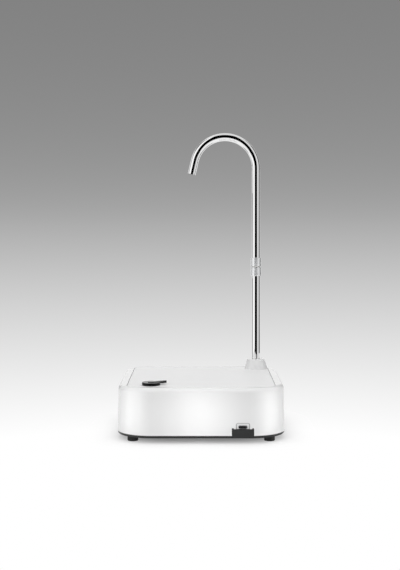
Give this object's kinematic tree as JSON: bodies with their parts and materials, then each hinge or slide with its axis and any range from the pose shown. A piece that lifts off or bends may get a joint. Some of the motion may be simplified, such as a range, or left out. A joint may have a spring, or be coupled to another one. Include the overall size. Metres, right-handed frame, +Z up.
{
  "type": "electric water jug pump",
  "caption": "Low rounded white tabletop pump with a glass stand on top, a turning chrome gooseneck spout on a clear coupling, a black lever knob and a battery gear pump inside.",
  "frame": {"origin": "on the table under the middle of the case", "axes": "+Z up along the spout, +Y to the back, where the water inlet is, +X to the right"},
  "size_m": [0.17, 0.17, 0.3184],
  "materials": {
    "shell_white": "glossy white",
    "panel_white": "satin white",
    "base_dark": "dark grey, fine grain",
    "foot_rubber": "matt black",
    "knob_black": "glossy black",
    "tube_chrome": "mirror polish",
    "sleeve_clear": "clear, polished",
    "fitting_plastic": "natural moulding",
    "collet_grey": "grey moulding",
    "seal_rubber": "matt black",
    "bright_steel": "bright",
    "bearing_bronze": "sintered",
    "copper": "enamelled",
    "magnet_grey": "sintered",
    "gear_plastic": "natural moulding",
    "pump_grey": "grey moulding",
    "board_green": "green solder mask",
    "component_black": "moulded",
    "cell_sleeve": "blue shrink sleeve",
    "hose_silicone": "milky silicone",
    "wire_red": "insulated wire"
  },
  "bodies": {
    "base": {"housing": "shell_white", "spout_collar": "shell_white", "top_panel": "panel_white", "base_plate": "base_dark", "foot_front_left": "foot_rubber", "foot_front_right": "foot_rubber", "foot_rear_left": "foot_rubber", "foot_rear_right": "foot_rubber", "lower_tube": "tube_chrome", "lower_sleeve": "sleeve_clear", "spout_socket": "fitting_plastic", "socket_nut": "fitting_plastic", "joint_nipple": "fitting_plastic", "motor_end_cap": "fitting_plastic", "inlet_fitting": "fitting_plastic", "inlet_nut": "fitting_plastic", "inlet_collet": "collet_grey", "socket_gasket": "seal_rubber", "socket_seal": "seal_rubber", "joint_seals": "seal_rubber", "shaft_seal": "seal_rubber", "pump_gasket": "seal_rubber", "inlet_seal": "seal_rubber", "motor_cradle": "seal_rubber", "case_screws": "bright_steel", "switch_board_screws": "bright_steel", "usb_shell": "bright_steel", "charge_board_screws": "bright_steel", "motor_can": "bright_steel", "motor_strap": "bright_steel", "strap_screws": "bright_steel", "driven_gear_pin": "bright_steel", "pump_screws": "bright_steel", "hose_clips": "bright_steel", "front_bush": "bearing_bronze", "rear_bush": "bearing_bronze", "brush_arms": "copper", "motor_magnets": "magnet_grey", "pump_body": "pump_grey", "pump_cover": "pump_grey", "switch_board": "board_green", "charge_board": "board_green", "switch_body": "component_black", "board_components": "component_black", "usb_tongue": "component_black", "battery_holder": "component_black", "battery_cell": "cell_sleeve", "suction_hose": "hose_silicone", "delivery_hose": "hose_silicone", "wiring": "wire_red"},
    "spout": {"gooseneck": "tube_chrome", "upper_sleeve": "sleeve_clear"},
    "knob": {"knob": "knob_black", "switch_shaft": "bright_steel"},
    "rotor": {"motor_shaft": "bright_steel", "armature_core": "bright_steel", "armature_windings": "copper", "commutator": "copper", "drive_gear": "gear_plastic"},
    "idler": {"driven_gear": "gear_plastic"}
  },
  "joints": [
    {"name": "spout_swivel", "type": "hinge", "parent": "base", "child": "spout", "pos_m": [0.0615, 0.062, 0.1686], "axis": [0, 0, 1], "continuous": true},
    {"name": "knob_turn", "type": "hinge", "parent": "base", "child": "knob", "pos_m": [-0.0505, -0.0625, 0.0546], "axis": [0, 0, 1], "range_deg": [-60, 0]},
    {"name": "motor_spin", "type": "hinge", "parent": "base", "child": "rotor", "pos_m": [0.005, -0.002, 0.0246], "axis": [0, 1, 0], "continuous": true},
    {"name": "idler_spin", "type": "hinge", "parent": "base", "child": "idler", "pos_m": [0.005, -0.002, 0.0366], "axis": [0, 1, 0], "continuous": true}
  ],
  "couplings": [
    {"joint": "idler_spin", "follows": "motor_spin", "ratio": -1}
  ]
}
